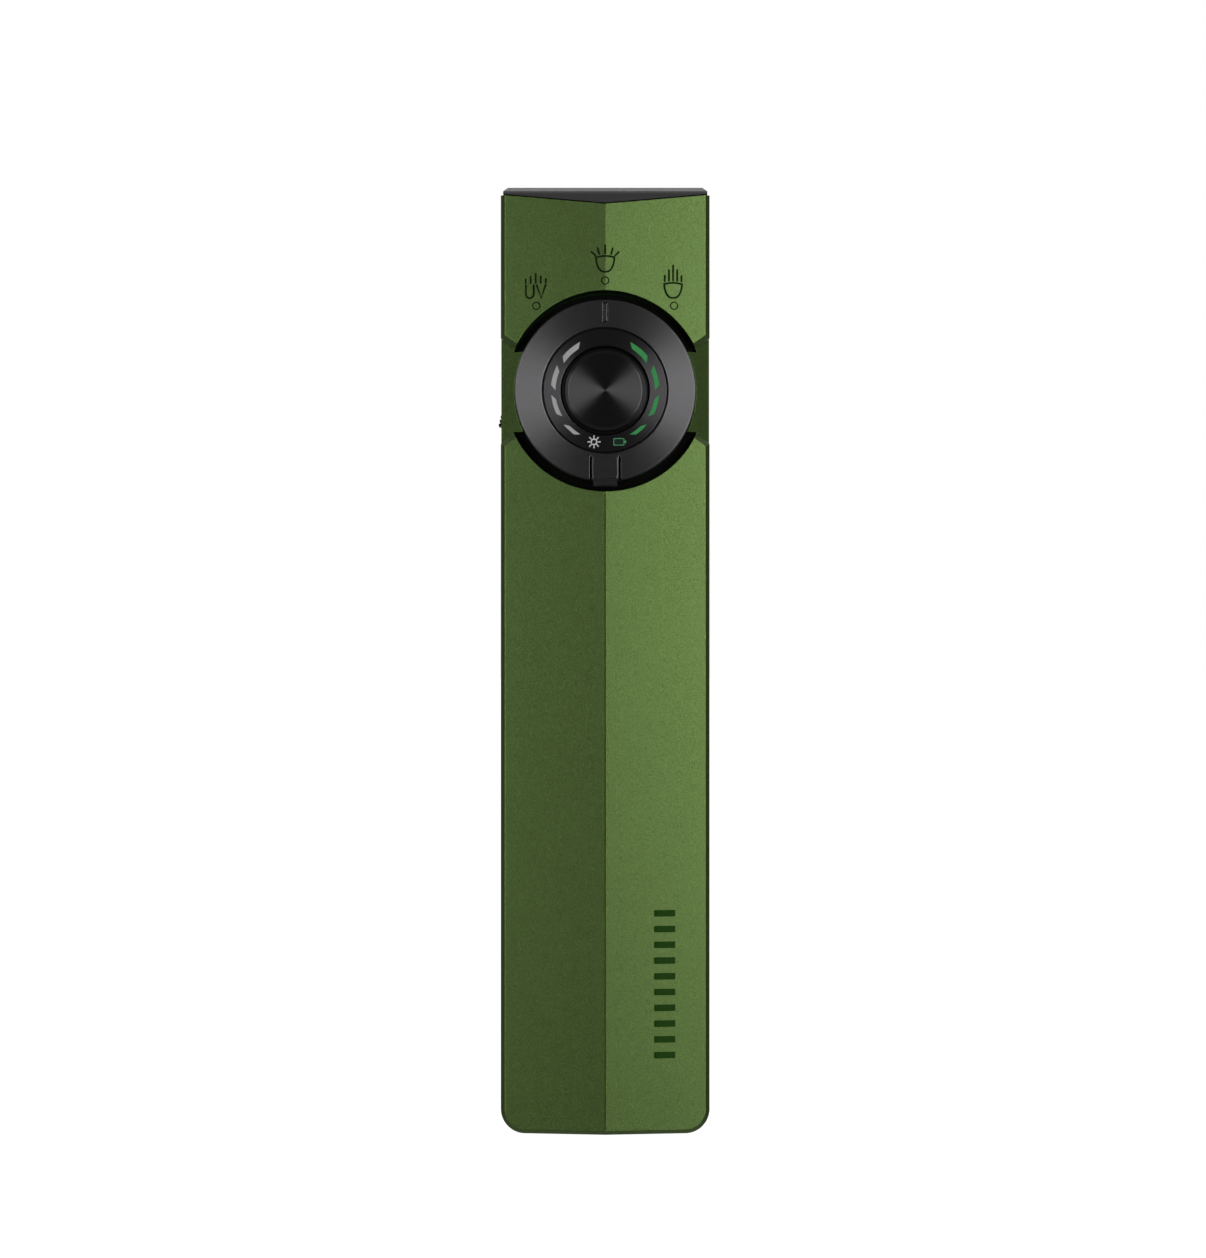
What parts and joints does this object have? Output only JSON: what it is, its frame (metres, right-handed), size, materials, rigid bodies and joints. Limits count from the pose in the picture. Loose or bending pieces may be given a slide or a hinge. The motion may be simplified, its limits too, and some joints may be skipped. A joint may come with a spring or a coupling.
{
  "type": "pocket flashlight",
  "caption": "Flat pocket flashlight: slab housing with a roof-shaped front, sloping black head, rotary light selector with a central push button, a side key and a back clip.",
  "frame": {"origin": "bottom centre of the whole light, on the tail's end plane", "axes": "+Z from the tail to the lights, -Y the front with the selector, +X the right side seen from the front"},
  "size_m": [0.027, 0.0183, 0.1206],
  "materials": {
    "green_anodised": "matte",
    "black_anodised": "satin",
    "black_plastic": "satin",
    "smoked_plastic": "satin",
    "white_light_guide": "gloss",
    "green_light_guide": "gloss",
    "glass": "gloss",
    "clear_optic": "gloss",
    "chrome": "gloss",
    "rubber": "matte",
    "copper": "satin",
    "brass": "satin",
    "steel": "satin",
    "black_steel": "satin",
    "magnet": "gloss",
    "circuit_board": "satin",
    "board_white": "satin",
    "led_board_core": "satin",
    "led_phosphor": "satin",
    "battery_wrap": "satin",
    "foam": "matte",
    "red_wire": "satin",
    "black_wire": "satin"
  },
  "bodies": {
    "housing": {"body_shell": "green_anodised", "head_bezel": "black_anodised", "bezel_seal": "rubber", "window_glass": "glass", "window_gasket": "rubber", "optics_tray": "black_plastic", "flood_optic": "clear_optic", "spot_optic": "clear_optic", "uv_reflector": "chrome", "flood_led": "led_phosphor", "spot_led": "led_phosphor", "uv_led": "led_phosphor", "laser_barrel": "brass", "laser_lens": "clear_optic", "led_board": "led_board_core", "heat_sink": "copper", "board_screw_1": "steel", "board_screw_2": "steel", "dial_seat": "black_anodised", "seat_nut": "steel", "detent_ball": "steel", "detent_spring": "steel", "indicator_cover": "smoked_plastic", "brightness_light_guide": "white_light_guide", "battery_light_guide": "green_light_guide", "indicator_board": "circuit_board", "button_seal": "rubber", "button_switch": "steel", "switch_board": "circuit_board", "side_switch": "steel", "side_board": "circuit_board", "key_seal": "rubber", "control_board": "circuit_board", "driver_inductor": "steel", "microcontroller": "black_plastic", "battery_connector": "board_white", "hall_sensor": "black_plastic", "board_link": "board_white", "battery_cell": "battery_wrap", "battery_pad": "foam", "battery_wire_negative": "black_wire", "battery_wire_positive": "red_wire", "led_wire_negative": "black_wire", "led_wire_positive": "red_wire", "charge_wire_negative": "black_wire", "charge_wire_positive": "red_wire", "contact_insulator": "black_plastic", "contact_ring": "brass", "contact_pin": "brass", "tail_magnet": "magnet", "charge_board": "circuit_board", "clip_foot": "black_steel", "clip_screw_1": "black_steel", "clip_screw_2": "black_steel"},
    "selector": {"selector_ring": "black_anodised", "selector_magnet": "magnet"},
    "button": {"button_cap": "black_anodised", "switch_plunger": "white_light_guide"},
    "side_key": {"side_key": "black_anodised"},
    "clip": {"clip_arm": "black_steel"}
  },
  "joints": [
    {"name": "selector_turn", "type": "hinge", "parent": "housing", "child": "selector", "pos_m": [0, -0.0075, 0.09438], "axis": [0, 1, 0], "range_deg": [-39, 39]},
    {"name": "button_press", "type": "slide", "parent": "housing", "child": "button", "axis": [0, 1, 0], "range_m": [0, 0.00035], "stiffness_N_per_m": 4000, "springref_m": -0.0001},
    {"name": "side_key_press", "type": "slide", "parent": "housing", "child": "side_key", "axis": [1, 0, 0], "range_m": [0, 0.0003], "stiffness_N_per_m": 4000, "springref_m": -0.0001},
    {"name": "clip_flex", "type": "hinge", "parent": "housing", "child": "clip", "pos_m": [0, 0.00655, 0.096], "axis": [1, 0, 0], "range_deg": [0, 6], "stiffness_Nm_per_rad": 5}
  ]
}
